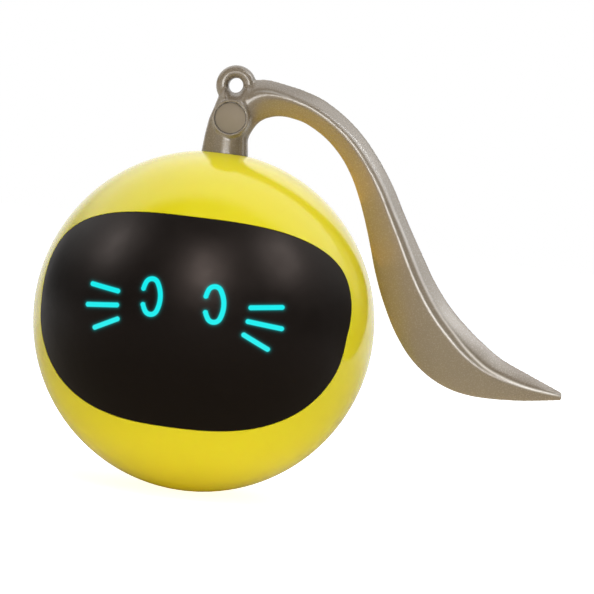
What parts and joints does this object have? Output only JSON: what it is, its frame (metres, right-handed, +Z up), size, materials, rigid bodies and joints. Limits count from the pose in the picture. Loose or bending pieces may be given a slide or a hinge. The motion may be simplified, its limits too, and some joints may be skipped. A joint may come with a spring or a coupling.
{
  "type": "interactive cat ball",
  "caption": "Self-rolling cat toy ball with a dark face window, lit eye and whisker marks, a swing weight on a geared shaft and a soft swivelling tail",
  "frame": {"origin": "the point under the ball's centre where the ball touches the floor", "axes": "+Z up through the ball's centre and the tail's peg, -Y out of the face, +X towards the tail's tip"},
  "size_m": [0.1174, 0.075, 0.0942],
  "materials": {
    "yellow_shell": "gloss",
    "dark_window": "satin",
    "light_mark": "satin",
    "black_mask": "matte",
    "tail_rubber": "satin",
    "tail_plug": "satin",
    "peg_plastic": "matte",
    "steel": "satin",
    "weight_steel": "satin",
    "brass": "satin",
    "gear_plastic": "satin",
    "grey_frame": "matte",
    "green_board": "satin",
    "black_chip": "matte",
    "silver_cell": "satin",
    "pad_foam": "matte",
    "lead_jacket": "satin",
    "yellow_rubber": "matte",
    "button_plastic": "satin",
    "white_led": "gloss"
  },
  "bodies": {
    "ball": {"front_shell": "yellow_shell", "rear_shell": "yellow_shell", "visor": "dark_window", "light_mask": "black_mask", "left_eye_window": "light_mark", "right_eye_window": "light_mark", "left_whisker_windows": "light_mark", "right_whisker_windows": "light_mark", "face_board": "green_board", "face_leds": "white_led", "face_screws": "steel", "shell_screws": "steel", "front_plate": "grey_frame", "rear_plate": "grey_frame", "plate_screws": "steel", "front_bush": "brass", "rear_bush": "brass", "battery": "silver_cell", "battery_pad": "pad_foam", "battery_lead": "lead_jacket", "face_lead": "lead_jacket", "gear_pins": "steel", "gear_cover": "grey_frame", "cover_screws": "steel", "motor": "steel", "motor_cap": "black_chip", "motor_leads": "lead_jacket", "main_board": "green_board", "controller_chip": "black_chip", "board_screws": "steel", "charge_socket": "steel", "socket_tongue": "black_chip", "tact_switch": "black_chip"},
    "swing_weight": {"drive_shaft": "steel", "weight_arm": "gear_plastic", "swing_weight": "weight_steel", "weight_screws": "steel", "output_gear": "gear_plastic"},
    "second_gear": {"second_gear": "gear_plastic"},
    "first_gear": {"first_gear": "gear_plastic"},
    "motor_rotor": {"motor_shaft": "steel", "motor_pinion": "brass"},
    "tail": {"tail": "tail_rubber", "tail_peg": "peg_plastic", "tail_pin": "tail_plug", "tail_pin_cap": "tail_plug"},
    "power_button": {"power_button": "button_plastic", "switch_stem": "black_chip"},
    "port_plug": {"port_plug": "yellow_rubber"}
  },
  "joints": [
    {"name": "pendulum_spin", "type": "hinge", "parent": "ball", "child": "swing_weight", "pos_m": [0, 0, 0.0375], "axis": [0, 1, 0], "continuous": true},
    {"name": "second_gear_spin", "type": "hinge", "parent": "ball", "child": "second_gear", "pos_m": [0.00771, 0, 0.04669], "axis": [0, 1, 0], "continuous": true},
    {"name": "first_gear_spin", "type": "hinge", "parent": "ball", "child": "first_gear", "pos_m": [-0.00316, 0, 0.05176], "axis": [0, 1, 0], "continuous": true},
    {"name": "motor_spin", "type": "hinge", "parent": "ball", "child": "motor_rotor", "pos_m": [-0.01404, 0, 0.04669], "axis": [0, 1, 0], "continuous": true},
    {"name": "tail_swivel", "type": "hinge", "parent": "ball", "child": "tail", "pos_m": [0, 0, 0.0742], "axis": [0, 0, 1], "continuous": true},
    {"name": "power_button_press", "type": "slide", "parent": "ball", "child": "power_button", "axis": [0, -1, 0], "range_m": [0, 0.0005], "stiffness_N_per_m": 2000},
    {"name": "port_plug_pull", "type": "slide", "parent": "ball", "child": "port_plug", "axis": [0, 1, 0], "range_m": [0, 0.006]}
  ],
  "couplings": [
    {"joint": "second_gear_spin", "follows": "pendulum_spin", "ratio": -3},
    {"joint": "first_gear_spin", "follows": "pendulum_spin", "ratio": 9},
    {"joint": "motor_spin", "follows": "pendulum_spin", "ratio": -27}
  ]
}
